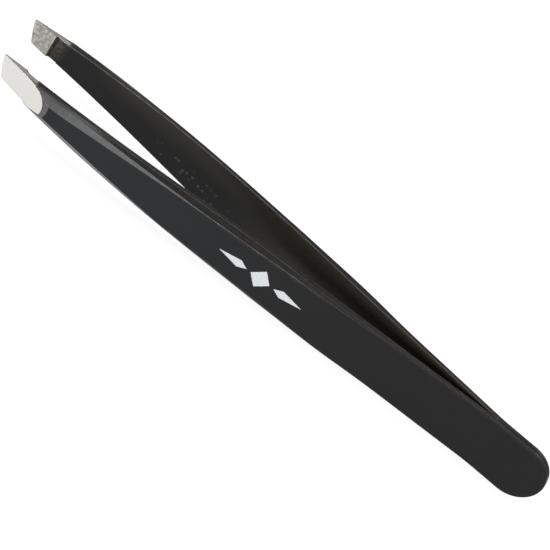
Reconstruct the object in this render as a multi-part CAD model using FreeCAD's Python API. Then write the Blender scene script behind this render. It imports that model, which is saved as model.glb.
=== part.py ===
"""Slant tweezers: two sprung steel arms, spot welded at the tail and dipped in black lacquer.

Units are millimetres. The tweezers lie on their narrow edges on the plane Z = 0. X runs along
them, from the tips at -X to the rounded tail at +X. Y crosses the gap: the front arm is at -Y
and the rear arm is its mirror image at +Y. Z is the width of the arms.

Distances named x_... or called "from the tips" are measured along X from the leading corner of
the tips. The arms are modelled there first, about the plane Z = 0, and moved into place last.

Each arm is one strip of steel in the real object. It is cut here at its flexure, so that the
blade can turn about an upright axis in the middle of the strip, which stands for its bending.
"""
import FreeCAD, Part
import math
import os
from FreeCAD import Vector

# Whole object
LENGTH = 95.0
TAIL_RADIUS = 4.57          # rounded end of the steel, seen from the side
TAIL_WIDTH_AT_FLEXURE = 9.0
COAT = 0.08                 # lacquer thickness, the same on every covered face

# The spring: a flat welded tail, a short bend and a straight leaning strip
STRIP = 0.72                # steel thickness behind the blades
EDGE_ROUNDING = 0.18        # of the tail's outer edges
LEAN = math.radians(4.72)   # slope of each strip away from the middle plane
X_BEND = 84.5               # where the leaning strip would meet the middle plane
BEND_RUN = 1.5              # from X_BEND to each end of the bend
X_FLEXURE = 77.0
FLEXURE_GAP = 0.12          # saw cut between a blade and its tail, wider than the turn needs

# The curve that brings the tips back to nearly parallel
X_CURVE = 33.0
CURVE_RADIUS = 230.0

# Tips
CLOSING_ANGLE = 3.5        # degrees each blade turns until the grip pads meet
PAD_CLEARANCE = 0.01        # each pad to the middle plane, when closed
PAD_LENGTH = 3.83
PAD_SLANT = 0.12            # its rear end leans forwards by this much per mm of width, going up
PAD_STEP_SLOPE = (0.45, 0.345)      # length and depth of the slope down from the pad
X_TIP = -0.09               # corner of the tip before it is rounded, just ahead of the origin
SLANT_RUN = 1.52            # the lower tip corner stands back by this much
TIP_BULGE = 0.11            # of the slanted edge ahead of a straight line
TIP_HALF_WIDTH = 1.84
UPPER_CORNER = 0.22         # radii of the tip's outline
BULGE_RADIUS = 12.0
LOWER_CORNER = 0.45
TIP_EDGE = 0.20             # thickness at the leading corner
FACET_RADIUS = 62.0         # the outer facet is hollow ground, on a wheel of this radius
FACET_SLOPE = 0.13          # of the facet at the leading corner, to the length
FACET_TWIST = 0.05          # radians about X: the facet is deeper towards its lower edge
X_BARE_ARC, Z_BARE_ARC = 5.7, -0.91     # middle of the arc where the facet's bare steel ends
BARE_ARC_RADIUS = 2.9
X_BARE_EDGES = 5.8          # the narrow edges have no lacquer ahead of this
BARE_EDGE_HALF_WIDTH = 1.85

# Blade cross-sections. Each is flat on the inside. Outside it has, on both sides, an upright
# land, a steep bevel and a shallow bevel, and a flat face between them.
# (from tips, half width, land, (steep rise, steep run), (shallow rise, shallow run))
BLADE_SECTIONS = [
    (-2.0, 1.78, 0.66, (0.42, 0.12), (0.58, 0.92)),
    (5.0, 1.95, 0.66, (0.42, 0.12), (0.58, 0.98)),
    (10.0, 2.31, 0.66, (0.42, 0.13), (0.58, 1.04)),
    (15.0, 2.71, 0.66, (0.42, 0.20), (0.40, 0.92)),
    (20.0, 3.09, 0.67, (0.42, 0.32), (0.25, 0.68)),
    (25.0, 3.44, 0.64, (0.49, 0.45), (0.13, 0.42)),
    (30.0, 3.74, 0.60, (0.56, 0.55), (0.05, 0.20)),
    (40.0, 4.20, 0.58, (0.58, 0.66), (0.02, 0.07)),
    (49.0, 4.38, 0.70, (0.42, 0.50), (0.02, 0.07)),
    (58.0, 4.38, 0.90, (0.18, 0.22), (0.02, 0.07)),
    (67.0, 4.40, 0.60, (0.12, 0.08), (0.06, 0.12)),
    (X_FLEXURE, TAIL_WIDTH_AT_FLEXURE / 2, 0.54, (0.12, 0.06), (0.06, 0.12)),
]

# Welds and printed ornament
X_WELDS = (88.0, 91.5)
WELD_RADIUS = 1.2
WELD_HEIGHT = 0.6
INK = 0.03
X_MARK = 46.1
MARK_LENGTH = 14.0
MARK_HEIGHT = 3.6
LOZENGE_LENGTH = 3.2
X_DART = 2.3                # from the mark's middle to a dart's blunt point, and to its widest place
X_DART_WIDEST = 3.6
BLADE_CORE = 0.62           # depth below the inner face that is inside the blade all along the mark

REACH = 30.0                # half size of cutting blocks, larger than anything they cut


def half_gap(x):
    """Distance from the middle plane to the inner steel face of an arm."""
    straight = math.tan(LEAN) * (X_BEND - x)
    if x >= X_CURVE:
        return straight
    return straight - (X_CURVE - x) ** 2 / (2 * CURVE_RADIUS)


def blade_section(station, grow):
    """Closed outline of the front blade at one station, enlarged all round by grow."""
    x, half_width, land, steep, shallow = station
    inner = -(half_gap(x) - grow)
    width = half_width + grow
    corners = [
        (inner, width),
        (inner - land - grow, width),
        (inner - land - grow - steep[0], width - steep[1]),
        (inner - land - 2 * grow - steep[0] - shallow[0], width - steep[1] - shallow[1]),
    ]
    points = [Vector(x, y, z) for y, z in corners]
    points += [Vector(x, y, -z) for y, z in reversed(corners)]
    return Part.makePolygon(points + points[:1])


def blade_loft(grow):
    """The front blade before its tip is ground, from ahead of the tips to the flexure."""
    loft = Part.makeLoft([blade_section(s, grow) for s in BLADE_SECTIONS], True, False)
    return loft.cut(slab(X_FLEXURE - FLEXURE_GAP / 2, X_FLEXURE + REACH))


def slab(x_low, x_high):
    """Everything between two upright planes across the tweezers."""
    return Part.makeBox(x_high - x_low, 2 * REACH, 2 * REACH, Vector(x_low, -REACH, -REACH))


def pivot():
    """A point of the front flexure's axis: the middle of the strip where it is cut."""
    return Vector(X_FLEXURE, -(half_gap(X_FLEXURE) + STRIP / 2), 0)


def pad_y():
    """The front grip pad's Y at the tip, with the blade at rest."""
    turn = math.radians(CLOSING_ANGLE)
    axis = pivot()
    return axis.y + (-PAD_CLEARANCE - axis.y - X_FLEXURE * math.sin(turn)) / math.cos(turn)


def half_space(point, normal):
    """A large block that fills the side of a plane its normal points to."""
    block = Part.makeBox(2 * REACH, 2 * REACH, REACH, Vector(-REACH, -REACH, 0))
    block.Placement = FreeCAD.Placement(point, FreeCAD.Rotation(Vector(0, 0, 1), normal))
    return block


def grinding_wheel(lift):
    """What the wheel grinds away outside the facet, when it is held back by lift."""
    corner = Vector(0, pad_y() - TIP_EDGE, TIP_HALF_WIDTH)
    ahead = FACET_SLOPE * FACET_RADIUS / math.hypot(1, FACET_SLOPE)
    aside = math.sqrt(FACET_RADIUS ** 2 - ahead ** 2)
    base = Vector(corner.x - ahead, corner.y - aside, -REACH)
    wheel = Part.makeCylinder(FACET_RADIUS - lift, 2 * REACH, base)
    wheel.rotate(corner, Vector(1, 0, 0), math.degrees(FACET_TWIST))
    return wheel


def pad_plane_cut():
    """Removes what would cross the middle plane when the blade closes."""
    turn = math.radians(CLOSING_ANGLE)
    tip = Vector(0, pad_y(), 0)
    return half_space(tip, Vector(-math.sin(turn), math.cos(turn), 0))


def rounded_corner(before, corner, after, radius):
    """An arc in the plane of three points, tangent to both lines that meet at the corner."""
    a = (before - corner).normalize()
    b = (after - corner).normalize()
    half = a.getAngle(b) / 2
    inwards = (a + b).normalize()
    centre = corner + inwards * (radius / math.sin(half))
    reach = radius / math.tan(half)
    return Part.Arc(corner + a * reach, centre - inwards * radius, corner + b * reach).toShape()


def beyond_tip():
    """Everything ahead of the tip: a slanted edge that bulges a little, between rounded corners."""
    upper = Vector(X_TIP, 0, TIP_HALF_WIDTH)
    lower = Vector(X_TIP + SLANT_RUN, 0, -TIP_HALF_WIDTH)
    middle = Vector(X_TIP + SLANT_RUN / 2 - TIP_BULGE, 0, 0)
    along = Vector(REACH, 0, 0)
    points = [upper + along, upper, middle, lower, lower + along]
    radii = [UPPER_CORNER, BULGE_RADIUS, LOWER_CORNER]
    arcs = [rounded_corner(*points[i:i + 3], radii[i]) for i in range(3)]
    outline = [arcs[0]]
    for before, after in zip(arcs, arcs[1:]):
        outline.append(Part.makeLine(before.Vertexes[-1].Point, after.Vertexes[0].Point))
        outline.append(after)
    start = arcs[0].Vertexes[0].Point
    end = arcs[-1].Vertexes[-1].Point
    far = [end, Vector(end.x, 0, -REACH), Vector(-REACH, 0, -REACH), Vector(-REACH, 0, REACH),
           Vector(start.x, 0, REACH), start]
    outline += [Part.makeLine(a, b) for a, b in zip(far, far[1:])]
    face = Part.Face(Part.Wire(outline))
    face.translate(Vector(0, -REACH, 0))
    return face.extrude(Vector(0, 2 * REACH, 0))


def bare_facet():
    """Where the facet has no lacquer: ahead of an arc, and outside the ground surface."""
    base = Vector(X_BARE_ARC, -REACH, Z_BARE_ARC)
    behind = Part.makeCylinder(BARE_ARC_RADIUS, 2 * REACH, base, Vector(0, 1, 0))
    return slab(-REACH, X_BARE_ARC).fuse(behind).common(grinding_wheel(0))


def tip_pad():
    """The raised block of the grip pad, before the pad plane and the slant are cut."""
    (x0, w0), (x1, w1) = [(s[0], s[1]) for s in BLADE_SECTIONS[:2]]
    outline = [(x0, w0), (x1, w1), (x1, -w1), (x0, -w0)]
    points = [Vector(x, -half_gap(x1) - 0.1, z) for x, z in outline]
    face = Part.Face(Part.makePolygon(points + points[:1]))
    length, depth = PAD_STEP_SLOPE
    end = Vector(PAD_LENGTH, pad_y() + math.tan(math.radians(CLOSING_ANGLE)) * PAD_LENGTH, 0)
    slope = half_space(end, Vector(depth, length, depth * PAD_SLANT))
    return face.extrude(Vector(0, 1, 0)).cut(slope)


def ahead_of_lacquer():
    """The bare end of a blade, up to the foot of the slope behind the pad."""
    foot = Vector(PAD_LENGTH + PAD_STEP_SLOPE[0], 0, 0)
    return half_space(foot, Vector(-1, 0, -PAD_SLANT))


def blade_steel():
    blade = blade_loft(0).fuse(tip_pad()).cut(pad_plane_cut()).cut(beyond_tip())
    return blade.cut(grinding_wheel(0)).removeSplitter()


def blade_lacquer(steel):
    """The blade's lacquer: open at the pad, ground away on the facet, worn off the tip's edges."""
    coat = blade_loft(COAT).cut(ahead_of_lacquer()).cut(grinding_wheel(COAT)).cut(steel)
    coat = coat.cut(bare_facet())
    for side in (1, -1):
        middle = side * (BARE_EDGE_HALF_WIDTH + REACH / 2)
        trim = Part.makeBox(X_BARE_EDGES + REACH, 2 * REACH, REACH,
                            Vector(-REACH, -REACH, middle - REACH / 2))
        coat = coat.cut(trim)
    return max(coat.Solids, key=lambda solid: solid.Volume)


def ornament_outlines():
    """A plain printer's ornament: a lozenge between two darts, as closed outlines in X and Z."""
    high, wide = MARK_HEIGHT / 2, LOZENGE_LENGTH / 2
    outlines = [[(0, high), (wide, 0), (0, -high), (-wide, 0)]]
    dart = [(X_DART, 0), (X_DART_WIDEST, high * 0.4), (MARK_LENGTH / 2, 0), (X_DART_WIDEST, -high * 0.4)]
    for side in (1, -1):
        outlines.append([(side * x, z) for x, z in dart])
    return outlines


def printed_mark():
    """The ornament as a film of ink on the lacquer of the front blade's outer face."""
    inked = blade_loft(COAT + INK)
    lacquered = blade_loft(COAT)
    y_inside_blade = -half_gap(X_MARK) - BLADE_CORE
    films = []
    for outline in ornament_outlines():
        points = [Vector(X_MARK + x, y_inside_blade, z) for x, z in outline]
        prism = Part.Face(Part.makePolygon(points + points[:1])).extrude(Vector(0, -REACH, 0))
        films.append(prism.common(inked).cut(lacquered))
    return Part.makeCompound(films)


def tail_profile(grow):
    """The front tail seen from above: flat behind the bend, a short arc, then leaning."""
    x_front = X_FLEXURE + FLEXURE_GAP / 2
    slope = math.tan(LEAN)

    def face_line(y_flat):
        """Points of a face: front end, start, middle and end of the bend, rear end."""
        start = Vector(X_BEND - BEND_RUN, y_flat - slope * BEND_RUN, 0)
        end = Vector(X_BEND + BEND_RUN, y_flat, 0)
        middle = Vector(X_BEND, y_flat - slope * BEND_RUN / 4, 0)
        front = Vector(x_front, y_flat - slope * (X_BEND - x_front), 0)
        return front, start, middle, end, Vector(LENGTH + REACH, y_flat, 0)

    inner = face_line(grow)
    outer = face_line(-STRIP - grow)
    edges = []
    for line in (inner, outer):
        front, start, middle, end, rear = line
        edges.append(Part.makeLine(front, start))
        edges.append(Part.Arc(start, middle, end).toShape())
        edges.append(Part.makeLine(end, rear))
    edges.append(Part.makeLine(inner[-1], outer[-1]))
    edges.append(Part.makeLine(inner[0], outer[0]))
    wire = Part.Wire(Part.__sortEdges__(edges))
    return Part.Face(wire)


def tail_outline(grow):
    """The tail seen from the side: nearly parallel edges and a round end."""
    radius = TAIL_RADIUS + grow
    x_centre = LENGTH - COAT - TAIL_RADIUS
    x_front = X_FLEXURE
    half = TAIL_WIDTH_AT_FLEXURE / 2 + grow
    upper = Part.makeLine(Vector(x_front, 0, half), Vector(x_centre, 0, radius))
    end = Part.Arc(Vector(x_centre, 0, radius), Vector(x_centre + radius, 0, 0),
                   Vector(x_centre, 0, -radius)).toShape()
    lower = Part.makeLine(Vector(x_centre, 0, -radius), Vector(x_front, 0, -half))
    front = Part.makeLine(Vector(x_front, 0, -half), Vector(x_front, 0, half))
    return Part.Face(Part.Wire([upper, end, lower, front]))


def tail_block(grow):
    """The front tail, enlarged all round by grow, with the edges of its outer face rounded."""
    plan = tail_profile(grow)
    plan.translate(Vector(0, 0, -REACH))
    side = tail_outline(grow)
    side.translate(Vector(0, -REACH, 0))
    tail = plan.extrude(Vector(0, 0, 2 * REACH)).common(side.extrude(Vector(0, 2 * REACH, 0)))
    return tail.makeFillet(EDGE_ROUNDING + grow, [e for e in tail.Edges if on_outer_rim(e)])


def on_outer_rim(edge):
    """True for a tail edge that runs along the outside of the outer face."""
    middle = edge.valueAt((edge.FirstParameter + edge.LastParameter) / 2)
    x_bend = min(max(middle.x, X_FLEXURE), X_BEND)
    outside_inner_face = middle.y < -(half_gap(x_bend) + STRIP / 2)
    upright = abs(edge.Vertexes[0].Z - edge.Vertexes[-1].Z) > 2 * WELD_RADIUS
    at_front = middle.x < X_FLEXURE + FLEXURE_GAP
    across_face = upright and middle.x < X_BEND + 2 * BEND_RUN
    return outside_inner_face and not at_front and not across_face


def mirrored(shape):
    """The rear arm's copy of a front arm's shape."""
    return shape.mirror(Vector(0, 0, 0), Vector(0, 1, 0))


def spot_welds():
    nuggets = []
    for x in X_WELDS:
        base = Vector(x, -WELD_HEIGHT / 2, 0)
        nuggets.append(Part.makeCylinder(WELD_RADIUS, WELD_HEIGHT, base, Vector(0, 1, 0)))
    return Part.makeCompound(nuggets)


def build():
    blade = blade_steel()
    lacquer = blade_lacquer(blade)
    welds = spot_welds()
    tail = tail_block(0)
    coated_tail = tail_block(COAT)
    tail_coat = coated_tail.fuse(mirrored(coated_tail)).cut(tail).cut(mirrored(tail))
    return {
        "front_arm_blade": blade,
        "rear_arm_blade": mirrored(blade),
        "front_blade_lacquer": lacquer,
        "rear_blade_lacquer": mirrored(lacquer),
        "front_arm_tail": tail.cut(welds),
        "rear_arm_tail": mirrored(tail).cut(welds),
        "tail_lacquer": tail_coat.removeSplitter(),
        "spot_welds": welds,
        "printed_mark": printed_mark(),
    }


def main():
    os.makedirs("parts", exist_ok=True)
    placed = Vector(-LENGTH / 2, 0, TAIL_RADIUS + COAT)
    for name, shape in build().items():
        shape = shape.copy()
        shape.translate(placed)
        solids = shape.Solids
        volume = sum(solid.Volume for solid in solids)
        box = shape.BoundBox
        print(f"{name}: {len(solids)} solid(s), {volume:.3f} mm3, valid {shape.isValid()}, "
              f"X {box.XMin:.2f}..{box.XMax:.2f} Y {box.YMin:.2f}..{box.YMax:.2f} "
              f"Z {box.ZMin:.2f}..{box.ZMax:.2f}")
        out = solids[0] if len(solids) == 1 else Part.makeCompound(solids)
        out.exportStep(f"parts/{name}.step")
    axis = pivot() + placed
    print(f"front flexure axis at X {axis.x:.3f} Y {axis.y:.3f}")
    print(f"pads at the tip: {-pad_y():.3f} mm from the middle plane at rest")


main()
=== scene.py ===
"""Slant tweezers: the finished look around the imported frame.

The arms are modelled in millimetres, measured from the leading corner of the tips about the plane
Z = 0, as in the frame's design, and are put in place in metres. Each arm is one steel strip in one
skin of lacquer, which bends at its flexure, so both are whole here and replace the split CAD nodes.
"""

import math

import bmesh
import bpy
from mathutils import Matrix, Vector


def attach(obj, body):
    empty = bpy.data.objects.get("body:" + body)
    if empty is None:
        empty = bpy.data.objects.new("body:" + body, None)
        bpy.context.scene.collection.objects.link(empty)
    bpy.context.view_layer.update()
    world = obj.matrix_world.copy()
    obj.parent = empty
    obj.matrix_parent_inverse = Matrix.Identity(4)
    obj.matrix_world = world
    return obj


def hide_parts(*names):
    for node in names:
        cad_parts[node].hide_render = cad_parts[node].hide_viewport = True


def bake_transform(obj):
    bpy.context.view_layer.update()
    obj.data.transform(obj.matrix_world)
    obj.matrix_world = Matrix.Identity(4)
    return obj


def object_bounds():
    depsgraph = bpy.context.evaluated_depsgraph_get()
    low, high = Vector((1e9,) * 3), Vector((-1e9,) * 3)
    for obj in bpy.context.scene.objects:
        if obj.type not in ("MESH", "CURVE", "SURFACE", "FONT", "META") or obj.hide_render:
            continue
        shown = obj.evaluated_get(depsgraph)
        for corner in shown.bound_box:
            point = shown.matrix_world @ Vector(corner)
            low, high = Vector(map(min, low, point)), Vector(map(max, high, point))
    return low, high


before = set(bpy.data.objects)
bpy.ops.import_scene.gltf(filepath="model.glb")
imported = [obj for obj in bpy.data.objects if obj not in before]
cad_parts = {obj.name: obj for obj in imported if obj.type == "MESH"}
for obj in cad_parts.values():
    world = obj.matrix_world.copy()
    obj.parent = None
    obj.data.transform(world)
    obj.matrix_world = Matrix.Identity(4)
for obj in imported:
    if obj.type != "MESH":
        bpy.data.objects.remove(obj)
cad_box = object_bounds()

MM = 0.001

# Whole object, millimetres
LENGTH = 95.0
TAIL_RADIUS = 4.57
FLEXURE_HALF_WIDTH = 4.5
COAT = 0.08
FIT = 0.004                 # air between the steel and its lacquer, so that they don't coincide
SEAM = 0.004                # each tail's lacquer stops this far short of the middle plane
STRIP = 0.72
LEAN = math.radians(4.72)
X_BEND = 84.5
BEND_RUN = 1.5
X_FLEXURE = 77.0
X_CURVE = 33.0
CURVE_RADIUS = 230.0
X_TAIL_CENTRE = LENGTH - COAT - TAIL_RADIUS

# Tips
CLOSING = math.radians(3.5)
PAD_CLEARANCE = 0.01
PAD_LENGTH = 3.83
PAD_SLANT = 0.12            # its rear end leans forwards by this much per mm of width, going up
PAD_STEP = 0.45             # length of the slope down from the pad
X_TIP = -0.09               # corner of the tip before it is rounded, just ahead of the origin
SLANT_RUN = 1.52            # the lower tip corner stands back by this much
TIP_BULGE = 0.11            # of the slanted edge ahead of a straight line
TIP_HALF_WIDTH = 1.84
TIP_RADII = (0.22, 12.0, 0.45)  # of the tip's outline at its upper corner, its bulge and its lower corner
TIP_EDGE = 0.20             # thickness at the leading corner
FACET_SLOPE = 0.13          # of the hollow-ground facet at the leading corner
FACET_RADIUS = 62.0
FACET_TWIST = 0.05          # radians about X: the facet is ground deeper towards its lower edge
WHEEL_START = -3.0          # X where the wheel's outline starts
WHEEL_STEPS = 33
BARE_ARC = (5.7, -0.91)     # X and Z of the middle of the arc where the facet's bare steel ends
BARE_ARC_RADIUS = 2.9
THIN_ARC = (5.7, -0.3)      # and of the arc where the lacquer thinned by grinding ends
THIN_ARC_RADIUS = 3.6
THIN_ABOVE = -6.60          # Y: mostly outside this
X_BARE_EDGES = 5.8
BARE_EDGE_HALF_WIDTH = 1.85

# Blade cross-sections: distance from the tips, then the columns named here
HALF_WIDTH, LAND, STEEP_RISE, STEEP_RUN, SHALLOW_RISE, SHALLOW_RUN = range(1, 7)
BLADE_SECTIONS = [
    (-2.0, 1.78, 0.66, 0.42, 0.12, 0.58, 0.92),
    (5.0, 1.95, 0.66, 0.42, 0.12, 0.58, 0.98),
    (10.0, 2.31, 0.66, 0.42, 0.13, 0.58, 1.04),
    (15.0, 2.71, 0.66, 0.42, 0.20, 0.40, 0.92),
    (20.0, 3.09, 0.67, 0.42, 0.32, 0.25, 0.68),
    (25.0, 3.44, 0.64, 0.49, 0.45, 0.13, 0.42),
    (30.0, 3.74, 0.60, 0.56, 0.55, 0.05, 0.20),
    (40.0, 4.20, 0.58, 0.58, 0.66, 0.02, 0.07),
    (49.0, 4.38, 0.70, 0.42, 0.50, 0.02, 0.07),
    (58.0, 4.38, 0.90, 0.18, 0.22, 0.02, 0.07),
    (67.0, 4.40, 0.60, 0.12, 0.08, 0.06, 0.12),
    (X_FLEXURE, FLEXURE_HALF_WIDTH, 0.54, 0.12, 0.06, 0.06, 0.12),
    (X_TAIL_CENTRE, TAIL_RADIUS, 0.54, 0.12, 0.06, 0.06, 0.12),
]

BIG = 40.0                  # half size of cutting blocks
BLANK_FRONT = -2.0          # where the arms start before the tips are cut
STEEL_ROUNDING = 0.03
LACQUER_ROUNDING = 0.12

# How finely the arms are meshed
X_FINE = (12.0, X_BEND - 3)     # sections are close together ahead of the first and behind the second
FINE_STEP = 0.5
COARSE_STEP = 1.0
LEAST_STEP = 0.2                # sections nearer to the pad's end than this are left out
HAIR = 1e-4                     # and one is put this far ahead of it
TAIL_GAP = 0.6                  # the last but one is at least this far from the last
SLANT_FADE = 3.0                # the pad's slant fades out over this length
LARGEST_ARC = 0.45              # share of a straight side that an arc at its corner may take
CORNER_SEGMENTS = (12, 8, 6, 6)  # of the corners of half a section
FACE_COLUMNS = 6
BEVEL_COLUMNS = 3
TAIL_TURNS = 40
ARC_SEGMENTS = 64
TIP_SEGMENTS = 12
SMOOTH_BELOW = math.radians(11)
EDGE_TURN = (3.0, 7.0)          # degrees between faces at which an edge starts to count, and fully does


# ---------------------------------------------------------------- the arm's shape, in millimetres

def half_gap(x):
    """Distance from the middle plane to the inner steel face."""
    if x >= X_BEND + BEND_RUN:
        return 0.0
    slope = math.tan(LEAN)
    if x > X_BEND - BEND_RUN:
        return slope * (X_BEND + BEND_RUN - x) ** 2 / (4 * BEND_RUN)
    straight = slope * (X_BEND - x)
    if x >= X_CURVE:
        return straight
    return straight - (X_CURVE - x) ** 2 / (2 * CURVE_RADIUS)


def smooth(x, column):
    """A value of BLADE_SECTIONS at x, on a smooth curve that doesn't overshoot the sections'."""
    places = [s[0] for s in BLADE_SECTIONS]
    values = [s[column] for s in BLADE_SECTIONS]
    last = len(places) - 1
    k = max(i for i in range(last) if x >= places[i] or i == 0)
    slopes = [(values[i + 1] - values[i]) / (places[i + 1] - places[i]) for i in range(last)]

    def tangent(i):
        if i == 0 or i == last:
            return slopes[min(i, last - 1)]
        before, after = slopes[i - 1], slopes[i]
        return 0.0 if before * after <= 0 else 2 * before * after / (before + after)

    run = places[k + 1] - places[k]
    t = (x - places[k]) / run
    return ((1 + 2 * t) * (1 - t) ** 2 * values[k] + t * (1 - t) ** 2 * run * tangent(k)
            + t * t * (3 - 2 * t) * values[k + 1] - t * t * (1 - t) * run * tangent(k + 1))


def pivot_y():
    return -(half_gap(X_FLEXURE) + STRIP / 2)


def pad_y():
    """The front grip pad's Y at the tip: pads meet when the blades have turned by CLOSING."""
    return pivot_y() + (-PAD_CLEARANCE - pivot_y() - X_FLEXURE * math.sin(CLOSING)) / math.cos(CLOSING)


def wheel_centre():
    """X and Y of the axis, parallel to Z, of the wheel that hollow-grinds the outer facet."""
    x = -FACET_SLOPE * FACET_RADIUS / math.hypot(1, FACET_SLOPE)
    return x, pad_y() - TIP_EDGE - math.sqrt(FACET_RADIUS ** 2 - x ** 2)


def tip_outline():
    """X and Z round the tip's cut end, from above it to below it, with its corners rounded."""
    corners = [
        Vector((BIG, TIP_HALF_WIDTH)),
        Vector((X_TIP, TIP_HALF_WIDTH)),
        Vector((X_TIP + SLANT_RUN / 2 - TIP_BULGE, 0)),
        Vector((X_TIP + SLANT_RUN, -TIP_HALF_WIDTH)),
        Vector((BIG, -TIP_HALF_WIDTH)),
    ]
    points = []
    for i, radius in enumerate(TIP_RADII):
        points += corner_arc(*corners[i:i + 3], radius, TIP_SEGMENTS)
    return [tuple(p) for p in points]


def corner_arc(before, corner, after, radius, segments):
    """Points of an arc of that radius, or as large as fits, that rounds off a corner."""
    a = (before - corner).normalized()
    b = (after - corner).normalized()
    half = a.angle(b) / 2
    reach = radius / math.tan(half)
    longest = LARGEST_ARC * min((before - corner).length, (after - corner).length)
    if reach > longest:
        reach = longest
        radius = reach * math.tan(half)
    centre = corner + (a + b).normalized() * (radius / math.sin(half))
    start = corner + a * reach - centre
    end = corner + b * reach - centre
    turn = start.angle_signed(end)
    return [centre + Matrix.Rotation(-turn * i / segments, 2) @ start for i in range(segments + 1)]


def half_profile(x, grow, rounding):
    """Points (y, z) of the upper half of a section, from the inner face's middle, over the edge,
    to the outer face's middle. Every x gives the same number of points."""
    half_width = smooth(x, HALF_WIDTH) + grow
    land = smooth(x, LAND)
    steep_rise, steep_run = smooth(x, STEEP_RISE), smooth(x, STEEP_RUN)
    shallow_rise, shallow_run = smooth(x, SHALLOW_RISE), smooth(x, SHALLOW_RUN)
    inner = -(half_gap(x) - grow)
    if x < PAD_LENGTH:
        inner = pad_y() + math.tan(CLOSING) * x
    inner = min(inner, -SEAM - max(0.0, COAT - grow))
    edge = -half_gap(x) - land
    corners = [
        Vector((inner, 0)),
        Vector((inner, half_width)),
        Vector((edge, half_width)),
        Vector((edge - steep_rise, half_width - steep_run)),
        Vector((edge - grow - steep_rise - shallow_rise, half_width - steep_run - shallow_run)),
        Vector((edge - grow - steep_rise - shallow_rise, 0)),
    ]
    radii = (rounding, rounding, rounding, 2 * rounding)
    arcs = [corner_arc(*corners[i:i + 3], radii[i], CORNER_SEGMENTS[i]) for i in range(4)]
    points = spread(corners[0], arcs[0][0], FACE_COLUMNS)[:-1]
    for arc, following in zip(arcs, arcs[1:]):
        points += arc
        points += spread(arc[-1], following[0], BEVEL_COLUMNS)[1:-1]
    points += arcs[-1]
    points += spread(arcs[-1][-1], corners[-1], FACE_COLUMNS)[1:]
    return points


def spread(start, end, count):
    """Points from start to end, with one close to each end so that flat faces shade flat."""
    close = 0.12
    inside = [close + (1 - 2 * close) * i / (count - 2) for i in range(count - 1)]
    return [start + (end - start) * t for t in [0.0] + inside + [1.0]]


def stations(x_from):
    """Section places: close together at the tip and the pad, wider along the blade."""
    xs = [x_from]
    while xs[-1] < X_TAIL_CENTRE - TAIL_GAP:
        coarse = X_FINE[0] <= xs[-1] <= X_FINE[1]
        xs.append(xs[-1] + (COARSE_STEP if coarse else FINE_STEP))
    xs = [x for x in xs if x == x_from or abs(x - PAD_LENGTH) > LEAST_STEP]
    if x_from < PAD_LENGTH:
        xs += [PAD_LENGTH - HAIR, PAD_LENGTH + PAD_STEP]
    return sorted(xs) + [X_TAIL_CENTRE]


def arm_solid(x_from, grow, rounding):
    """The front arm as a closed bmesh, from x_from to the round tail, enlarged by grow."""
    mesh = bmesh.new()
    rings = []
    for x in stations(x_from):
        half = half_profile(x, grow, rounding)
        outline = [(p.x, p.y) for p in half] + [(p.x, -p.y) for p in reversed(half[1:-1])]
        rings.append([mesh.verts.new(slanted(x, y, z)) for y, z in outline])
    size = len(rings[0])
    for first, second in zip(rings, rings[1:]):
        for i in range(size):
            j = (i + 1) % size
            mesh.faces.new((first[i], first[j], second[j], second[i]))
    mesh.faces.new(reversed(rings[0]))
    round_end(mesh, rings[-1], half_profile(X_TAIL_CENTRE, grow, rounding))
    bmesh.ops.recalc_face_normals(mesh, faces=mesh.faces)
    return mesh


def slanted(x, y, z):
    """A section's point, moved along so that the sections near the pad's end lean as it does."""
    moved = x - PAD_SLANT * z * max(0.0, 1 - abs(x - PAD_LENGTH - PAD_STEP / 2) / SLANT_FADE)
    if x < PAD_LENGTH:
        y = min(y, pad_y() + math.tan(CLOSING) * moved)
    return Vector((moved, y, z))


def round_end(mesh, ring, half):
    """Turns the last section's half profile about the tail's centre, which closes the arm."""
    upper = ring[:len(half)]
    lower = [ring[0]] + list(reversed(ring[len(half):])) + [ring[len(half) - 1]]
    fans = [upper]
    for k in range(1, TAIL_TURNS):
        angle = math.pi * k / TAIL_TURNS
        fan = [ring[0]]
        for p in half[1:-1]:
            fan.append(mesh.verts.new((X_TAIL_CENTRE + p.y * math.sin(angle), p.x,
                                       p.y * math.cos(angle))))
        fan.append(ring[len(half) - 1])
        fans.append(fan)
    fans.append(lower)
    for first, second in zip(fans, fans[1:]):
        for i in range(len(half) - 1):
            corners = (first[i], first[i + 1], second[i + 1], second[i])
            mesh.faces.new(list(dict.fromkeys(corners)))


def to_object(mesh, name):
    data = bpy.data.meshes.new(name)
    mesh.to_mesh(data)
    mesh.free()
    piece = bpy.data.objects.new(name, data)
    bpy.context.scene.collection.objects.link(piece)
    return piece


def combine(piece, cutter, operation):
    """Cuts a closed mesh by another, and removes the cutter."""
    modifier = piece.modifiers.new("cut", "BOOLEAN")
    modifier.operation = operation
    modifier.solver = "MANIFOLD"
    modifier.object = cutter
    apply_modifiers(piece)
    bpy.data.objects.remove(cutter)


def apply_modifiers(piece):
    graph = bpy.context.evaluated_depsgraph_get()
    data = bpy.data.meshes.new_from_object(piece.evaluated_get(graph))
    piece.modifiers.clear()
    old = piece.data
    piece.data = data
    bpy.data.meshes.remove(old)


def block(low, high):
    mesh = bmesh.new()
    bmesh.ops.create_cube(mesh, size=1.0)
    for v in mesh.verts:
        v.co = Vector(low[i] if v.co[i] < 0 else high[i] for i in range(3))
    return mesh


# ---------------------------------------------------------------- the pieces of the front arm

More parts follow.
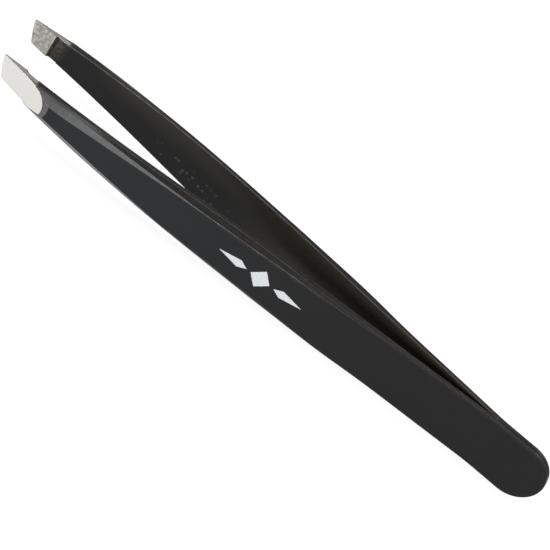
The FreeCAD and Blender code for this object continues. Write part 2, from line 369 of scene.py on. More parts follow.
def prism(outline, axis, low, high):
    """A closed mesh with an outline in the two other axes, in their order, from low to high on axis."""
    mesh = bmesh.new()
    rings = []
    for level in (low, high):
        points = [Vector(p) for p in ([*pair[:axis], level, *pair[axis:]] for pair in outline)]
        rings.append([mesh.verts.new(p) for p in points])
    for i in range(len(outline)):
        j = (i + 1) % len(outline)
        mesh.faces.new((rings[0][i], rings[0][j], rings[1][j], rings[1][i]))
    mesh.faces.new(rings[0])
    mesh.faces.new(rings[1])
    bmesh.ops.recalc_face_normals(mesh, faces=mesh.faces)
    return mesh


def beyond_tip():
    """Everything ahead of the tip's outline."""
    outline = tip_outline()
    first, last = outline[0], outline[-1]
    outline += [(last[0], -BIG), (-BIG, -BIG), (-BIG, BIG), (first[0], BIG)]
    return to_object(prism(outline, 1, -BIG, BIG), "beyond")


def wheel(lift):
    """What the wheel grinds away outside the facet, when it is held back by lift."""
    centre_x, centre_y = wheel_centre()
    radius = FACET_RADIUS - lift
    xs = [WHEEL_START + FINE_STEP * i for i in range(WHEEL_STEPS + 1)]
    outline = [(x, centre_y + math.sqrt(radius ** 2 - (x - centre_x) ** 2)) for x in xs]
    outline += [(xs[-1], -BIG), (xs[0], -BIG)]
    mesh = prism(outline, 2, -BIG, BIG)
    corner = Matrix.Translation((0, pad_y() - TIP_EDGE, TIP_HALF_WIDTH))
    mesh.transform(corner @ Matrix.Rotation(FACET_TWIST, 4, "X") @ corner.inverted())
    return to_object(mesh, "wheel")


def bare_facet():
    """Where the facet has no lacquer: ahead of an arc, and outside the ground surface."""
    x, z = BARE_ARC
    arc = []
    for i in range(ARC_SEGMENTS + 1):
        angle = math.pi * (i / ARC_SEGMENTS - 0.5)
        arc.append((x + BARE_ARC_RADIUS * math.cos(angle), z + BARE_ARC_RADIUS * math.sin(angle)))
    outline = [(-BIG, -BIG), (x, -BIG), *arc, (x, BIG), (-BIG, BIG)]
    region = to_object(prism(outline, 1, -BIG, BIG), "region")
    combine(region, wheel(0.0), "INTERSECT")
    return region


def steel_arm():
    strip = to_object(arm_solid(BLANK_FRONT, 0.0, STEEL_ROUNDING), "front_arm_steel")
    combine(strip, beyond_tip(), "DIFFERENCE")
    combine(strip, wheel(0.0), "DIFFERENCE")
    return strip


def lacquer_skin():
    skin = to_object(arm_solid(PAD_LENGTH + PAD_STEP, COAT, LACQUER_ROUNDING), "front_arm_lacquer")
    combine(skin, wheel(COAT), "DIFFERENCE")
    cavity = to_object(arm_solid(BLANK_FRONT, FIT, STEEL_ROUNDING), "cavity")
    combine(cavity, wheel(FIT), "DIFFERENCE")
    combine(skin, cavity, "DIFFERENCE")
    combine(skin, bare_facet(), "DIFFERENCE")
    for low, high in ((BARE_EDGE_HALF_WIDTH, BIG), (-BIG, -BARE_EDGE_HALF_WIDTH)):
        edge = block((-BIG, -BIG, low), (X_BARE_EDGES, BIG, high))
        combine(skin, to_object(edge, "edge"), "DIFFERENCE")
    return skin


# ---------------------------------------------------------------- the printed ornament

INK = 0.03
X_MARK = 46.1
MARK_LENGTH = 14.0
MARK_HEIGHT = 3.6
LOZENGE_LENGTH = 3.2
X_DART = 2.3                # from the mark's middle to a dart's blunt point, and to its widest place
X_DART_WIDEST = 3.6
DART_HEIGHT = 0.4           # of the mark's height
MARK_CUTS = 7               # each side of an outline is cut this often, to follow the face


def outer_face(x):
    """Y of the front arm's lacquered outer face, between its bevels."""
    steel = smooth(x, LAND) + smooth(x, STEEP_RISE) + smooth(x, SHALLOW_RISE)
    return -(half_gap(x) + steel + COAT)


def ornament():
    """A plain printer's ornament in X and Z: a lozenge between two darts."""
    high, wide = MARK_HEIGHT / 2, LOZENGE_LENGTH / 2
    outlines = [[(0, high), (wide, 0), (0, -high), (-wide, 0)]]
    dart_high = high * DART_HEIGHT
    dart = [(X_DART, 0), (X_DART_WIDEST, dart_high), (MARK_LENGTH / 2, 0), (X_DART_WIDEST, -dart_high)]
    for side in (1, -1):
        outlines.append([(side * x, z) for x, z in dart])
    return outlines


def printed_mark():
    """Films of ink that follow the face, as closed meshes with fine edges."""
    mesh = bmesh.new()
    for outline in ornament():
        layer = [mesh.verts.new((X_MARK + x, 0, z)) for x, z in outline]
        face = mesh.faces.new(layer)
        bmesh.ops.subdivide_edges(mesh, edges=face.edges[:], cuts=MARK_CUTS, use_grid_fill=True)
    base = mesh.faces[:]
    raised = bmesh.ops.extrude_face_region(mesh, geom=base)
    tops = {v for v in raised["geom"] if isinstance(v, bmesh.types.BMVert)}
    for v in mesh.verts:
        v.co.y = outer_face(v.co.x) - (INK if v in tops else 0.0)
    bmesh.ops.recalc_face_normals(mesh, faces=mesh.faces)
    return to_object(mesh, "printed_mark_ink")


# ---------------------------------------------------------------- placing

FRONT_X = cad_box[1][0] - LENGTH * MM


def place(piece, mirrored=False):
    """From millimetres at the tips to metres in the frame; mirrored gives the rear arm's copy."""
    side = -1 if mirrored else 1
    middle_height = (cad_box[0][2] + cad_box[1][2]) / 2
    piece.data.transform(Matrix.Translation((FRONT_X, 0, middle_height))
                         @ Matrix.Diagonal((MM, MM * side, MM, 1)))
    if mirrored:
        piece.data.flip_normals()
    piece.data.shade_smooth()
    piece.data.set_sharp_from_angle(angle=SMOOTH_BELOW)


def dress(piece, look):
    """The piece's only material; a boolean leaves an empty slot behind."""
    piece.data.materials.clear()
    piece.data.materials.append(look)


def rear_copy(piece, name):
    copy = bpy.data.objects.new(name, piece.data.copy())
    bpy.context.scene.collection.objects.link(copy)
    return copy


def mark_design(piece):
    """Stores each vertex's place in the design, in millimetres, for the materials to read."""
    layer = piece.data.attributes.new("design", "FLOAT_VECTOR", "POINT")
    for v in piece.data.vertices:
        layer.data[v.index].vector = v.co


def mark_edges(piece):
    """Stores 1 at the vertices on rounded edges, and 0 on flat ones, for edge wear and painted highlights.
    """
    mesh = bmesh.new()
    mesh.from_mesh(piece.data)
    layer = piece.data.attributes.new("edge", "FLOAT", "POINT")
    for v in mesh.verts:
        turn = max(e.calc_face_angle(0.0) for e in v.link_edges)
        share = (math.degrees(turn) - EDGE_TURN[0]) / (EDGE_TURN[1] - EDGE_TURN[0])
        layer.data[v.index].value = min(1.0, max(0.0, share))
    mesh.free()


# ---------------------------------------------------------------- materials

ON_SURFACE = 0.012          # how near an ideal surface a point of the mesh is when it lies on it
INNER_FACE = 0.02           # a point less deep than this is on an inner face

# Bare steel: linear colours, or pairs of them to mix by a texture
BRIGHT_STEEL = ((0.655, 0.645, 0.62), (0.69, 0.685, 0.66))
DRESSED_STEEL = ((0.43, 0.42, 0.39), (0.22, 0.205, 0.19))
STAMPED_STEEL = ((0.165, 0.16, 0.152), (0.24, 0.235, 0.225))
BEVEL_STEEL = (0.055, 0.053, 0.05)
# blotchy dark brown on the slope down from the pad and just behind it
PAD_EDGE_BROWN = ((0.016, 0.011, 0.007), (0.07, 0.058, 0.045))
BEHIND_PAD = 0.03           # the dark brown starts this far behind the pad
Y_DARKENED_AT_PAD = -4.84             # and is inside this
Y_BARE_BEVEL = (-5.48, -5.54)

# Black lacquer: linear colours, or pairs of them
BLACK = ((0.0038, 0.0046, 0.0050), (0.0050, 0.0060, 0.0068))
# painted shade: the lacquer is painted darker from the tips towards the tail
PAINTED_SHADE_AT_TAIL = (0.0005, 0.0002, 0.0006)
BLACK_INSIDE = (0.0008, 0.0007, 0.0008)
HAZE = (0.0110, 0.0097, 0.0076)
# painted light inside the gap between the arms: the first lower down, the second higher up
BROWN_PAINTED_LIGHT = ((0.050, 0.040, 0.031), (0.019, 0.0152, 0.0118))
FLUFF = (0.06, 0.058, 0.056)
RUBBED = (0.036, 0.03, 0.023)
SCUFFED = (0.0178, 0.0160, 0.0138)
# painted shade in the gap where the arms meet
SEAM_SHADE = (0.0001, 0.0001, 0.0001)
# painted light: the steeper bevels keep a lighter black than the faces
BEVEL_PAINTED_LIGHT = (0.0053, 0.0047, 0.0041)
# painted reflection: the lower bevel is paler, for the floor it reflects at a grazing angle
LOWER_BEVEL_REFLECTION = ((0.045, 0.045, 0.046), (0.085, 0.085, 0.087))
# worn lacquer and painted highlight along the rounded edges
WORN_EDGE_AND_HIGHLIGHT = (0.075, 0.073, 0.07)
DUST = (0.12, 0.12, 0.12)
LINT = (0.25, 0.25, 0.24)
THINNED = (0.055, 0.055, 0.057)

# How strongly some of these cover what is below them
TAIL_SHADE_COVERS = 0.9
INSIDE_COVERS = 0.95
WORN_EDGE_AND_HIGHLIGHT_COVERS = 0.55
DUST_COVERS = 0.25
LINT_COVERS = 0.5

# Where the lacquer's looks change, in millimetres of the design. Two numbers are where a change starts and
# ends. Four are where something starts, is full, starts to fade, and is gone.
# painted shade: where the darkening towards the tail starts and where it is full
X_PAINTED_TAIL_SHADE = (8, 75)
X_BROWN_PAINTED_LIGHT = (33, 58)
Z_BROWN_PAINTED_LIGHT = (-1, 3)
X_HAZE = (9, 17)
Z_HAZE = (-0.3, 2.6)
X_FLUFF = (22, 27, 32, 40)
Z_FLUFF = (0.0, -0.9)
X_RUBBED = (4.25, 4.4, 4.8, 6.6)
Y_RUBBED = -4.86
X_LESS_SCUFFED = (8, 17)
X_MORE_SCUFFED = (45, 74)
X_SEAM_SHADE = (83, 87)
Y_SEAM_SHADE = -0.2
X_BEVEL_PAINTED_LIGHT = (6, 14, 50, 60)
Y_OUTER_FACES = -5.6        # the lower bevel lies outside this
Y_THINNED = -5.98           # and the thinned lacquer outside this
LOWER_BEVEL_LIMIT = (-0.26, -0.36)
LOWER_BEVEL_SLOPE = 0.092   # of that limit, per mm along the arm
X_LOWER_BEVEL_FADE = (27, 34)
X_LOWER_BEVEL_PALER = (8, 16)
X_WEAR_AND_HIGHLIGHT_FADE = (44, 60)
X_LAND_SPARED = (18, 24)
X_INSIDE_SPARED = (26, 34)
LAND_EDGE = (0.62, 0.26)    # depth of the land's outer edge, and how far it may be from that
INNER_EDGE = 0.15           # the inner edge is less deep than this
X_GLOSSIER = (26, 42)
X_BLUNTER_EDGES = (55, 68)
Y_OUTER_EDGES = -0.3        # at the tail, those outside this
FLAT_TILT = (0.975, 0.99)   # sines of the slopes between which a face starts to count as level
BEVEL_TILT = (0.5, 0.6, 0.93, 0.97)
ARC_BLUR = 0.06             # half the width over which the thinned lacquer ends

# Ink, welds and floor: linear colours, or pairs of them
WHITE_INK = ((0.285, 0.30, 0.31), (0.36, 0.378, 0.388))
PINHOLE = (0.2, 0.2, 0.2)
HEATED_STEEL = ((0.42, 0.36, 0.28), (0.30, 0.31, 0.36))
FLOOR_GREY = ((0.034, 0.034, 0.034), (0.038, 0.038, 0.038))

# Roughness: between which values it varies, and what some places add to it
STEEL_ROUGHNESS = (0.27, 0.36)
OFF_FACET_ROUGHER = 0.12
LACQUER_ROUGHNESS = (0.28, 0.34)
GLOSSIER = 0.05
BLUNTER = 0.45
THINNED_ROUGHER = 0.3
INK_ROUGHNESS = (0.55, 0.7)
WELD_ROUGHNESS = (0.4, 0.6)
FLOOR_ROUGHNESS = (0.5, 0.6)


class Material:
    """A Principled material, with short calls for the nodes that drive it."""

    def __init__(self, name, **constants):
        self.material = bpy.data.materials.new(name)
        self.material.use_nodes = True
        self.tree = self.material.node_tree
        self.shader = self.tree.nodes["Principled BSDF"]
        for socket, value in constants.items():
            self.shader.inputs[socket.replace("_", " ")].default_value = value
        self.place = self.node("ShaderNodeTexCoord").outputs["Object"]

    def node(self, kind, **properties):
        node = self.tree.nodes.new(kind)
        for name, value in properties.items():
            setattr(node, name, value)
        return node

    def link(self, source, target):
        """Feeds a socket, or sets it to a number."""
        if isinstance(source, (int, float)):
            target.default_value = source
        else:
            self.tree.links.new(source, target)

    def set(self, socket, value):
        self.link(value, self.shader.inputs[socket])

    # textures

    def stretched(self, sizes):
        """Coordinates counted in features of these sizes, in millimetres."""
        node = self.node("ShaderNodeMapping")
        node.inputs["Scale"].default_value = [1 / (size * MM) for size in sizes]
        self.link(self.place, node.inputs["Vector"])
        return node.outputs["Vector"]

    def noise(self, *sizes, detail=3.0, rough=0.5, offset=0.0):
        """Noise from 0 to 1, with features of one size or of a size along each axis, in mm."""
        node = self.node("ShaderNodeTexNoise", noise_dimensions="4D")
        node.inputs["Scale"].default_value = 1.0
        node.inputs["Detail"].default_value = detail
        node.inputs["Roughness"].default_value = rough
        node.inputs["W"].default_value = offset
        self.link(self.stretched(sizes * 3 if len(sizes) == 1 else sizes), node.inputs["Vector"])
        return node.outputs["Fac"]

    def specks(self, spacing, size, rarity):
        """Scattered round specks: 1 inside a speck; rarity is the share of places left empty."""
        node = self.node("ShaderNodeTexVoronoi")
        node.inputs["Scale"].default_value = 1.0
        self.link(self.stretched([spacing] * 3), node.inputs["Vector"])
        spot = self.ramp(node.outputs["Distance"], size / spacing, 0.6 * size / spacing)
        chance = self.node("ShaderNodeSeparateColor")
        self.link(node.outputs["Color"], chance.inputs["Color"])
        return self.times(spot, self.ramp(chance.outputs["Red"], rarity, rarity + 0.01))

    # sums

    def math(self, operation, *values):
        node = self.node("ShaderNodeMath", operation=operation)
        for value, socket in zip(values, node.inputs):
            self.link(value, socket)
        return node.outputs["Value"]

    def times(self, first, *others):
        for other in others:
            first = self.math("MULTIPLY", first, other)
        return first

    def ramp(self, value, start, end, out_start=0.0, out_end=1.0):
        """Carries start..end smoothly onto out_start..out_end, and holds the ends."""
        node = self.node("ShaderNodeMapRange", interpolation_type="SMOOTHSTEP")
        if start > end:
            start, end, out_start, out_end = end, start, out_end, out_start
        sockets = ("From Min", "From Max", "To Min", "To Max")
        for socket, number in zip(sockets, (start, end, out_start, out_end)):
            node.inputs[socket].default_value = number
        self.link(value, node.inputs["Value"])
        return node.outputs["Result"]

    def vary(self, noise, low, high):
        """Carries a noise, which is mostly from 0.3 to 0.7, onto low..high."""
        return self.ramp(noise, 0.3, 0.7, low, high)

    def between(self, value, start, full, fading, gone):
        """1 from full to fading, and 0 before start and after gone."""
        return self.times(self.ramp(value, start, full), self.ramp(value, fading, gone, 1.0, 0.0))

    def near(self, value, target, within):
        """1 where a value is within a distance of a target, and 0 elsewhere."""
        gap = self.math("ABSOLUTE", self.math("SUBTRACT", value, target))
        return self.math("LESS_THAN", gap, within)

    def distance(self, place, centre):
        """The distance of two coordinates from a fixed centre."""
        squares = []
        for value, middle in zip(place, centre):
            off = self.math("SUBTRACT", value, middle)
            squares.append(self.times(off, off))
        return self.math("SQRT", self.math("ADD", *squares))

    def mix(self, amount, first, second):
        """A colour between two colours, each a tuple or another socket."""
        node = self.node("ShaderNodeMix", data_type="RGBA")
        self.link(amount, node.inputs["Factor"])
        for colour, socket in ((first, node.inputs[6]), (second, node.inputs[7])):
            if isinstance(colour, tuple):
                socket.default_value = (*colour, 1.0)
            else:
                self.link(colour, socket)
        return node.outputs[2]

    def layered(self, colour, *layers):
        """A colour with others laid over it in turn, each a pair of a mask and a colour."""
        for mask, over in layers:
            colour = self.mix(mask, colour, over)
        return colour

    def bump(self, *layers):
        """Stacks (height 0..1, millimetres high) layers into the surface's normal."""
        normal = None
        for height, depth in layers:
            node = self.node("ShaderNodeBump")
            node.inputs["Strength"].default_value = 1.0
            node.inputs["Distance"].default_value = depth * MM
            self.link(height, node.inputs["Height"])
            if normal is not None:
                self.link(normal, node.inputs["Normal"])
            normal = node.outputs["Normal"]
        self.link(normal, self.shader.inputs["Normal"])

    # places on the arm

    def attribute(self, name, output):
        """What mark_design or mark_edges stored at the vertices."""
        return self.node("ShaderNodeAttribute", attribute_name=name).outputs[output]

    def split(self, vector):
        """A vector's three sockets."""
        node = self.node("ShaderNodeSeparateXYZ")
        self.link(vector, node.inputs["Vector"])
        return node.outputs

    def design(self):
        """The place in the design as three sockets."""
        return self.split(self.attribute("design", "Vector"))

    def edge(self):
        """1 on rounded edges."""
        return self.attribute("edge", "Fac")

    def depth(self):
        """How far outside the steel's inner face a point would be, if that face were straight."""
        x, y, _ = self.design()
        straight = self.times(self.math("SUBTRACT", x, X_BEND), math.tan(LEAN))
        return self.math("SUBTRACT", straight, y)

    def true_depth(self):
        """How far outside the steel's inner face a point is, from the pad to the tail."""
        ahead = self.math("MAXIMUM", self.math("SUBTRACT", X_CURVE, self.design()["X"]), 0.0)
        bow = self.times(ahead, ahead, 1 / (2 * CURVE_RADIUS))
        return self.math("ADD", self.depth(), bow)

    def within_gap(self):
        """1 on the inner faces, which face the other arm."""
        return self.math("LESS_THAN", self.depth(), INNER_FACE)

    def on_facet(self):
        """1 on the hollow-ground surface of the steel."""
        turned = self.node("ShaderNodeVectorRotate", rotation_type="X_AXIS")
        self.link(self.attribute("design", "Vector"), turned.inputs["Vector"])
        turned.inputs["Center"].default_value = (0, pad_y() - TIP_EDGE, TIP_HALF_WIDTH)
        turned.inputs["Angle"].default_value = -FACET_TWIST
        x, y, _ = self.split(turned.outputs["Vector"])
        return self.near(self.distance((x, y), wheel_centre()), FACET_RADIUS, ON_SURFACE)

    def on_pad(self):
        """1 on the grip pad."""
        x, y, _ = self.design()
        height = self.math("SUBTRACT", y, self.times(x, math.tan(CLOSING)))
        ahead = self.math("LESS_THAN", x, PAD_LENGTH + PAD_STEP)
        return self.times(self.near(height, pad_y(), ON_SURFACE), ahead)

    def tilt(self):
        """1 on the narrow edges, 0 on the inner and outer faces. The joints don't change it."""
        normal = self.node("ShaderNodeNewGeometry").outputs["True Normal"]
        return self.math("ABSOLUTE", self.split(normal)["Z"])

    def on_narrow_edge(self):
        """1 on the narrow edges that the tweezers can rest on."""
        return self.ramp(self.tilt(), *FLAT_TILT)

    def on_bevel(self):
        """1 on the steeper bevels, between the narrow edges and the outer face."""
        return self.between(self.tilt(), *BEVEL_TILT)


def darkened_at_pad(m):
    """1 on the slope down from the pad, and on the bare steel just behind it, which are coloured a blotchy
    dark brown.
    """
    x, y, z = m.design()
    past_pad = m.math("MULTIPLY_ADD", z, PAD_SLANT, x)
    behind = m.math("GREATER_THAN", past_pad, PAD_LENGTH + BEHIND_PAD)
    return m.times(behind, m.math("GREATER_THAN", y, Y_DARKENED_AT_PAD))


def steel():
    """Stainless steel: a finely ground facet, a patchy hand-dressed pad, and dull stamped edges."""
    m = Material("ground_steel", Metallic=1.0)
    lines = m.noise(0.05, 0.05, 2.2, detail=4.0, rough=0.65)
    patches = m.noise(0.42, 0.3, 0.5, detail=5.0, rough=0.7, offset=3.0)
    pitted = m.noise(0.12, offset=7.0)
    blotches = m.ramp(m.noise(0.3, detail=4.0), 0.4, 0.6)
    facet, pad = m.on_facet(), m.on_pad()
    colour = m.layered(
        m.mix(pitted, *STAMPED_STEEL),
        (m.ramp(m.design()["Y"], *Y_BARE_BEVEL), BEVEL_STEEL),
        # blotchy dark brown on the slope down from the pad and just behind it
        (darkened_at_pad(m), m.mix(blotches, *PAD_EDGE_BROWN)),
        (pad, m.mix(m.ramp(patches, 0.36, 0.64), *DRESSED_STEEL)),
        (facet, m.mix(patches, *BRIGHT_STEEL)),
    )
    m.set("Base Color", colour)
    satin = m.vary(lines, *STEEL_ROUGHNESS)
    off_facet = m.math("SUBTRACT", 1.0, facet)
    m.set("Roughness", m.math("MULTIPLY_ADD", off_facet, OFF_FACET_ROUGHER, satin))
    m.bump((lines, 0.0006), (m.times(pad, patches), 0.012), (m.math("SUBTRACT", pitted, facet), 0.001))
    return m.material


def inside_colour(m):
    """The inner faces: black, with a haze on the upper half, fluff on the lower half, and brown painted
    light towards the tail, lighter lower down, for the little light that reaches deep into the gap."""
    x, _, z = m.design()
    haze = m.times(m.ramp(z, *Z_HAZE), m.ramp(x, *X_HAZE))
    strands = m.times(m.specks(0.85, 0.3, 0.4), m.ramp(m.noise(0.15, offset=6.0), 0.3, 0.5))
    settled = m.times(m.ramp(z, *Z_FLUFF), m.between(x, *X_FLUFF))
    return m.layered(
        BLACK_INSIDE,
        (haze, HAZE),
        # painted light: brown, lighter lower down and towards the tail, deep in the gap between the arms
        (m.ramp(x, *X_BROWN_PAINTED_LIGHT), m.mix(m.ramp(z, *Z_BROWN_PAINTED_LIGHT), *BROWN_PAINTED_LIGHT)),
        (m.times(strands, settled), FLUFF),
    )


def rubbed(m):
    """The blotchy start of the lacquer on the inner face, just behind the pad's slope."""
    x, y, _ = m.design()
    blotches = m.ramp(m.noise(0.5, detail=4.0), 0.35, 0.65, 0.3, 1.0)
    return m.times(m.between(x, *X_RUBBED), blotches, m.math("GREATER_THAN", y, Y_RUBBED))


def scuffed(m):
    """Wear on the narrow edges: most at the tail, some at the tip, least between."""
    x = m.design()["X"]
    streaks = m.vary(m.noise(2.5, 0.3, 0.3, detail=5.0, offset=8.0), 0.25, 0.75)
    near_tip = m.ramp(x, *X_LESS_SCUFFED, 0.7, 0.33)
    near_tail = m.ramp(x, *X_MORE_SCUFFED, 0.33, 0.8)
    return m.times(m.on_narrow_edge(), streaks, m.math("MAXIMUM", near_tip, near_tail))


def seam_shade(m):
    """The dark line where the two arms' lacquer meets at the tail: painted shade in the narrow gap between
    the arms.
    """
    x, y, _ = m.design()
    return m.times(m.math("GREATER_THAN", y, Y_SEAM_SHADE), m.ramp(x, *X_SEAM_SHADE))


def on_lower_bevel(m):
    """The shallow bevel along the outer face's lower side."""
    x, y, z = m.design()
    below = m.ramp(m.math("MULTIPLY_ADD", x, LOWER_BEVEL_SLOPE, z), *LOWER_BEVEL_LIMIT)
    outside = m.math("LESS_THAN", y, Y_OUTER_FACES)
    return m.times(below, outside, m.ramp(x, *X_LOWER_BEVEL_FADE, 1.0, 0.0))


def worn_and_highlighted(m):
    """Rounded edges that are lighter, as worn lacquer and as painted highlights, less on the land's two
    edges, and none at the tail.
    """
    x = m.design()["X"]
    depth = m.true_depth()
    streaks = m.ramp(m.noise(1.6, 0.25, 0.25, detail=4.0, offset=4.0), 0.35, 0.65, 0.15, 1.0)
    spared_outside = m.times(m.near(depth, *LAND_EDGE), m.ramp(x, *X_LAND_SPARED, 0.0, 0.4))
    inside = m.math("LESS_THAN", depth, INNER_EDGE)
    spared_inside = m.times(inside, m.ramp(x, *X_INSIDE_SPARED, 0.35, 0.65))
    spared = m.math("ADD", spared_outside, spared_inside)
    left = m.math("SUBTRACT", m.ramp(x, *X_WEAR_AND_HIGHLIGHT_FADE, 1.0, 0.0), spared)
    return m.times(m.edge(), streaks, m.math("MAXIMUM", left, 0.0))


def thinned(m):
    """The border of lacquer behind the facet that grinding has thinned."""
    x, y, z = m.design()
    out = m.distance((x, z), THIN_ARC)
    ahead = m.ramp(out, THIN_ARC_RADIUS - ARC_BLUR, THIN_ARC_RADIUS + ARC_BLUR, 1.0, 0.0)
    above = m.ramp(y, THIN_ABOVE, THIN_ABOVE - ARC_BLUR, 0.25, 1.0)
    return m.times(ahead, above, m.math("LESS_THAN", y, Y_THINNED))


def lacquer():
    """Black satin lacquer: fine orange peel, dust under the coat, dirt and wear in their places, and
    painted shade, light, highlights and reflection where they fall.
    """
    m = Material("black_lacquer", Specular_IOR_Level=0.2)
    x, y, _ = m.design()
    peel = m.noise(0.22, detail=2.0)
    dust = m.specks(0.9, 0.045, 0.86)
    lint = m.specks(2.4, 0.09, 0.9)
    thin = thinned(m)
    colour = m.layered(
        m.mix(m.noise(3.0, 1.5, 1.5, offset=5.0), *BLACK),
        # painted shade: darker towards the tail
        (m.ramp(x, *X_PAINTED_TAIL_SHADE, 0.0, TAIL_SHADE_COVERS), PAINTED_SHADE_AT_TAIL),
        (m.times(m.within_gap(), INSIDE_COVERS), inside_colour(m)),
        (rubbed(m), RUBBED),
        (scuffed(m), SCUFFED),
        # painted shade in the gap between the arms at the tail
        (seam_shade(m), SEAM_SHADE),
        # painted light: from 6 to 60 mm the steeper bevels keep a lighter black than the faces, which are
        # painted darker towards the tail
        (m.times(m.on_bevel(), m.between(x, *X_BEVEL_PAINTED_LIGHT)), BEVEL_PAINTED_LIGHT),
        # painted reflection of the floor on the lower bevel
        (on_lower_bevel(m), m.mix(m.ramp(x, *X_LOWER_BEVEL_PALER), *LOWER_BEVEL_REFLECTION)),
        # worn lacquer and painted highlights along the rounded edges
        (m.times(worn_and_highlighted(m), WORN_EDGE_AND_HIGHLIGHT_COVERS), WORN_EDGE_AND_HIGHLIGHT),
        (m.times(dust, DUST_COVERS), DUST),
        (m.times(lint, LINT_COVERS), LINT),
        (thin, THINNED),
    )
    m.set("Base Color", colour)
    satin = m.vary(m.noise(0.6, offset=9.0), *LACQUER_ROUGHNESS)
    satin = m.math("SUBTRACT", satin, m.ramp(x, *X_GLOSSIER, 0.0, GLOSSIER))
    outer_edge = m.times(m.edge(), m.math("LESS_THAN", y, Y_OUTER_EDGES))
    blunt = m.math("MAXIMUM", outer_edge, m.on_bevel())
    blunt = m.times(blunt, m.ramp(x, *X_BLUNTER_EDGES, 0.0, BLUNTER))
    rough = m.math("ADD", m.math("ADD", satin, blunt), m.times(thin, THINNED_ROUGHER))
    m.set("Roughness", rough)
    m.bump((peel, 0.0016), (dust, 0.006), (lint, 0.01))
    return m.material


def ink():
    """Flat white printing ink, faintly uneven, with pinholes."""
    m = Material("white_ink", Specular_IOR_Level=0.3)
    uneven = m.noise(0.35)
    holes = m.specks(0.35, 0.05, 0.7)
    m.set("Base Color", m.mix(m.times(holes, 0.6), m.mix(uneven, *WHITE_INK), PINHOLE))
    m.set("Roughness", m.vary(uneven, *INK_ROUGHNESS))
    m.bump((uneven, 0.004), (holes, -0.01))
    return m.material


def weld():
    """Steel once melted: dull, with the straw and blue of heat."""
    m = Material("welded_steel", Metallic=1.0)
    heat = m.noise(0.7)
    grain = m.noise(0.09, offset=2.0)
    m.set("Base Color", m.mix(heat, *HEATED_STEEL))
    m.set("Roughness", m.vary(grain, *WELD_ROUGHNESS))
    m.bump((grain, 0.01))
    return m.material


# ---------------------------------------------------------------- making, placing and joining the pieces

X_WELDS = (88.0, 91.5)
WELD_RADIUS = 1.2
WELD_HEIGHT = 0.6
WELD_SEGMENTS = 64


def cut_weld_pockets(piece):
    for x in X_WELDS:
        mesh = bmesh.new()
        turned = Matrix.Translation((x, 0, 0)) @ Matrix.Rotation(math.pi / 2, 4, "X")
        bmesh.ops.create_cone(mesh, cap_ends=True, segments=WELD_SEGMENTS, radius1=WELD_RADIUS + FIT,
                              radius2=WELD_RADIUS + FIT, depth=WELD_HEIGHT + 2 * FIT, matrix=turned)
        combine(piece, to_object(mesh, "pocket"), "DIFFERENCE")


strip = steel_arm()
skin = lacquer_skin()
cut_weld_pockets(strip)
cut_weld_pockets(skin)
for piece in (strip, skin):
    mark_design(piece)
    mark_edges(piece)
for first, name, look in ((strip, "steel", steel()), (skin, "lacquer", lacquer())):
    second = rear_copy(first, "rear_arm_" + name)
    for piece, side in ((first, "front"), (second, "rear")):
        place(piece, mirrored=side == "rear")
        dress(piece, look)
        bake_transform(piece)
        if name == "steel":
            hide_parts(side + "_arm_blade", side + "_arm_tail")
        else:
            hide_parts(side + "_blade_lacquer", "tail_lacquer")

mark = printed_mark()
place(mark)
dress(mark, ink())
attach(mark, "front_arm")
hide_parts("printed_mark")

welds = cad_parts["spot_welds"]
weld_look = weld()
for material_slot in welds.material_slots:
    material_slot.material = weld_look


# ---------------------------------------------------------------- floor, light and camera

FLOOR_RADIUS = 4.0
FLOOR_DROP = 0.00002            # the floor lies this far under the object
FLOOR_GLOW = 0.93
WORLD_GREY = 0.38

# Softboxes: name, azimuth, elevation, width, height, radiance
SOFTBOXES = [
    ("front_softbox", 5, 13, 0.9, 0.54, 8.8),
    ("overhead_softbox", 180, 88, 1.4, 0.35, 5.5),
    ("left_softbox", -110, 50, 0.8, 0.6, 5.8),
    ("right_softbox", 120, 50, 0.8, 0.6, 5.8),
]
SOFTBOX_DISTANCE = 1.0

CAMERA_AZIMUTH = -5.56
CAMERA_ELEVATION = 40.83
CAMERA_ROLL = math.radians(43.78)
CAMERA_DISTANCE = 0.5
CAMERA_FIELD = 0.07556          # width seen at the object, metres
AIM = (0.000122, -0.001152)     # right and up of the object's middle, metres


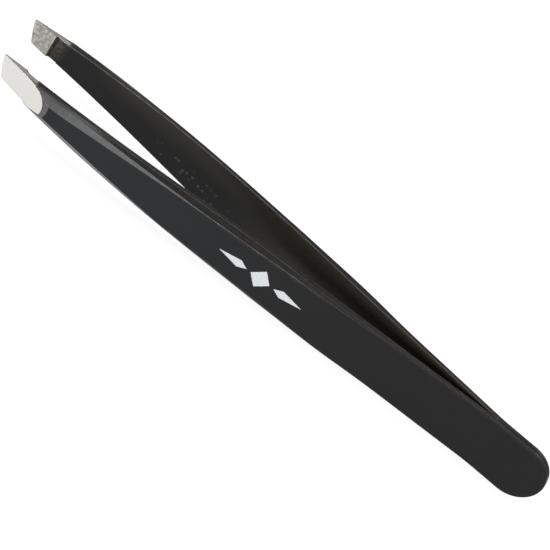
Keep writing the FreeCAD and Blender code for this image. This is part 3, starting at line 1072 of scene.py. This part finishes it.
def floor():
    mesh = bmesh.new()
    bmesh.ops.create_circle(mesh, cap_ends=True, segments=96, radius=FLOOR_RADIUS)
    data = bpy.data.meshes.new("floor")
    mesh.to_mesh(data)
    mesh.free()
    obj = bpy.data.objects.new("floor", data)
    obj.location.z = cad_box[0][2] - FLOOR_DROP
    bpy.context.scene.collection.objects.link(obj)
    m = Material("white_floor", Specular_IOR_Level=0.2)
    m.set("Base Color", m.mix(m.noise(40.0), *FLOOR_GREY))
    m.set("Roughness", m.vary(m.noise(3.0), *FLOOR_ROUGHNESS))
    m.shader.inputs["Emission Color"].default_value = (1, 1, 1, 1)
    m.shader.inputs["Emission Strength"].default_value = FLOOR_GLOW
    data.materials.append(m.material)


def direction(azimuth, elevation):
    """Unit vector towards a place round the object; azimuth 0 is in front (-Y), 90 to the right (+X)."""
    a, e = math.radians(azimuth), math.radians(elevation)
    return Vector((math.sin(a) * math.cos(e), -math.cos(a) * math.cos(e), math.sin(e)))


def softbox(name, azimuth, elevation, width, height, radiance):
    light = bpy.data.lights.new(name, "AREA")
    light.shape = "RECTANGLE"
    light.size = width
    light.size_y = height
    light.energy = 4 * width * height * radiance
    obj = bpy.data.objects.new(name, light)
    towards = direction(azimuth, elevation)
    obj.location = towards * SOFTBOX_DISTANCE
    obj.rotation_euler = towards.to_track_quat("Z", "Y").to_euler()
    obj.visible_camera = False
    bpy.context.scene.collection.objects.link(obj)


def studio():
    """The grey all round the scene."""
    world = bpy.data.worlds.new("studio")
    world.use_nodes = True
    background = world.node_tree.nodes["Background"]
    background.inputs["Color"].default_value = (WORLD_GREY, WORLD_GREY, WORLD_GREY, 1.0)
    bpy.context.scene.world = world


def camera():
    away = direction(CAMERA_AZIMUTH, CAMERA_ELEVATION)
    level = Vector((0, 0, 1)).cross(away).normalized()
    upward = away.cross(level)
    right = level * math.cos(CAMERA_ROLL) + upward * math.sin(CAMERA_ROLL)
    middle = Vector((0, 0, (cad_box[0][2] + cad_box[1][2]) / 2))
    target = middle + level * AIM[0] + upward * AIM[1]
    data = bpy.data.cameras.new("camera")
    data.sensor_width = 36.0
    data.lens = data.sensor_width * CAMERA_DISTANCE / CAMERA_FIELD
    data.clip_start = 0.01
    obj = bpy.data.objects.new("camera", data)
    axes = Matrix((right, away.cross(right), away)).transposed()
    obj.matrix_world = Matrix.Translation(target + away * CAMERA_DISTANCE) @ axes.to_4x4()
    bpy.context.scene.collection.objects.link(obj)
    bpy.context.scene.camera = obj


floor()
for box in SOFTBOXES:
    softbox(*box)
studio()
camera()
bpy.context.scene.view_settings.view_transform = "Standard"
